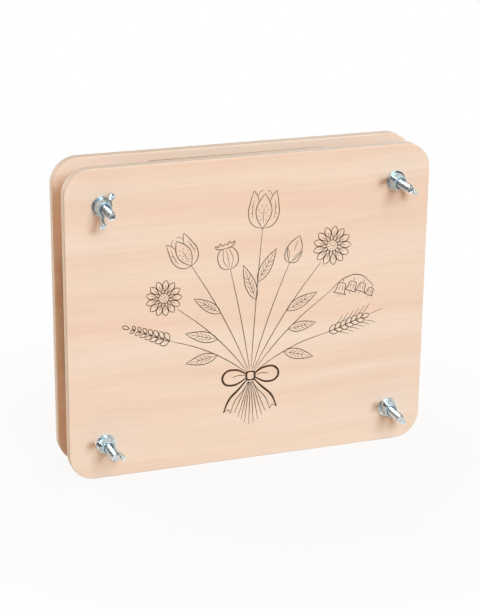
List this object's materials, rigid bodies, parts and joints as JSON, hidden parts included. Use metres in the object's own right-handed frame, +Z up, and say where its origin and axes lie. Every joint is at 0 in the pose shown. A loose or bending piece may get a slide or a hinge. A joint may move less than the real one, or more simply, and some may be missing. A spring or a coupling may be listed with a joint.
{
  "type": "flower press",
  "caption": "Flower press with rounded plywood boards that clamp a pack of corrugated card and blotting paper, drawn together at the corners by bolts, washers and wing nuts.",
  "frame": {"origin": "on the ground, in the middle of the box of the standing press", "axes": "+X to the right along the boards' long edges, -Y out of the front where the wing nuts are, +Z up"},
  "size_m": [0.225, 0.0582, 0.19],
  "materials": {
    "plywood": "sanded, bare",
    "zinc_steel": "bright zinc plated",
    "cardboard": "kraft",
    "blotting_paper": "soft uncoated"
  },
  "bodies": {
    "base": {"back_board": "plywood", "bolt_1": "zinc_steel", "bolt_2": "zinc_steel", "bolt_3": "zinc_steel", "bolt_4": "zinc_steel", "cardboard_1": "cardboard", "blotter_1": "blotting_paper"},
    "sheet_layer_2": {"blotter_2": "blotting_paper", "cardboard_2": "cardboard", "blotter_3": "blotting_paper"},
    "sheet_layer_3": {"blotter_4": "blotting_paper", "cardboard_3": "cardboard", "blotter_5": "blotting_paper"},
    "sheet_layer_4": {"blotter_6": "blotting_paper", "cardboard_4": "cardboard", "blotter_7": "blotting_paper"},
    "sheet_layer_5": {"blotter_8": "blotting_paper", "cardboard_5": "cardboard"},
    "front_board": {"front_board": "plywood", "washer_1": "zinc_steel", "washer_2": "zinc_steel", "washer_3": "zinc_steel", "washer_4": "zinc_steel"},
    "wing_nut_1": {"wing_nut_1": "zinc_steel"},
    "wing_nut_2": {"wing_nut_2": "zinc_steel"},
    "wing_nut_3": {"wing_nut_3": "zinc_steel"},
    "wing_nut_4": {"wing_nut_4": "zinc_steel"}
  },
  "joints": [
    {"name": "front_board_slide", "type": "slide", "parent": "base", "child": "front_board", "axis": [0, -1, 0], "range_m": [0, 0.012]},
    {"name": "wing_nut_1_turn", "type": "hinge", "parent": "front_board", "child": "wing_nut_1", "pos_m": [0.0905, -0.00865, 0.022], "axis": [0, -1, 0], "range_deg": [0, 5400]},
    {"name": "wing_nut_2_turn", "type": "hinge", "parent": "front_board", "child": "wing_nut_2", "pos_m": [-0.0905, -0.00865, 0.022], "axis": [0, -1, 0], "range_deg": [0, 5400]},
    {"name": "wing_nut_3_turn", "type": "hinge", "parent": "front_board", "child": "wing_nut_3", "pos_m": [0.0905, -0.00865, 0.168], "axis": [0, -1, 0], "range_deg": [0, 5400]},
    {"name": "wing_nut_4_turn", "type": "hinge", "parent": "front_board", "child": "wing_nut_4", "pos_m": [-0.0905, -0.00865, 0.168], "axis": [0, -1, 0], "range_deg": [0, 5400]},
    {"name": "sheet_layer_2_slide", "type": "slide", "parent": "base", "child": "sheet_layer_2", "axis": [0, -1, 0], "range_m": [0, 0.003]},
    {"name": "sheet_layer_3_slide", "type": "slide", "parent": "base", "child": "sheet_layer_3", "axis": [0, -1, 0], "range_m": [0, 0.006]},
    {"name": "sheet_layer_4_slide", "type": "slide", "parent": "base", "child": "sheet_layer_4", "axis": [0, -1, 0], "range_m": [0, 0.009]},
    {"name": "sheet_layer_5_slide", "type": "slide", "parent": "base", "child": "sheet_layer_5", "axis": [0, -1, 0], "range_m": [0, 0.012]}
  ],
  "couplings": [
    {"joint": "wing_nut_1_turn", "follows": "front_board_slide", "rad_per_m": 7854},
    {"joint": "wing_nut_2_turn", "follows": "front_board_slide", "rad_per_m": 7854},
    {"joint": "wing_nut_3_turn", "follows": "front_board_slide", "rad_per_m": 7854},
    {"joint": "wing_nut_4_turn", "follows": "front_board_slide", "rad_per_m": 7854},
    {"joint": "sheet_layer_2_slide", "follows": "front_board_slide", "ratio": 0.25},
    {"joint": "sheet_layer_3_slide", "follows": "front_board_slide", "ratio": 0.5},
    {"joint": "sheet_layer_4_slide", "follows": "front_board_slide", "ratio": 0.75},
    {"joint": "sheet_layer_5_slide", "follows": "front_board_slide", "ratio": 1}
  ]
}
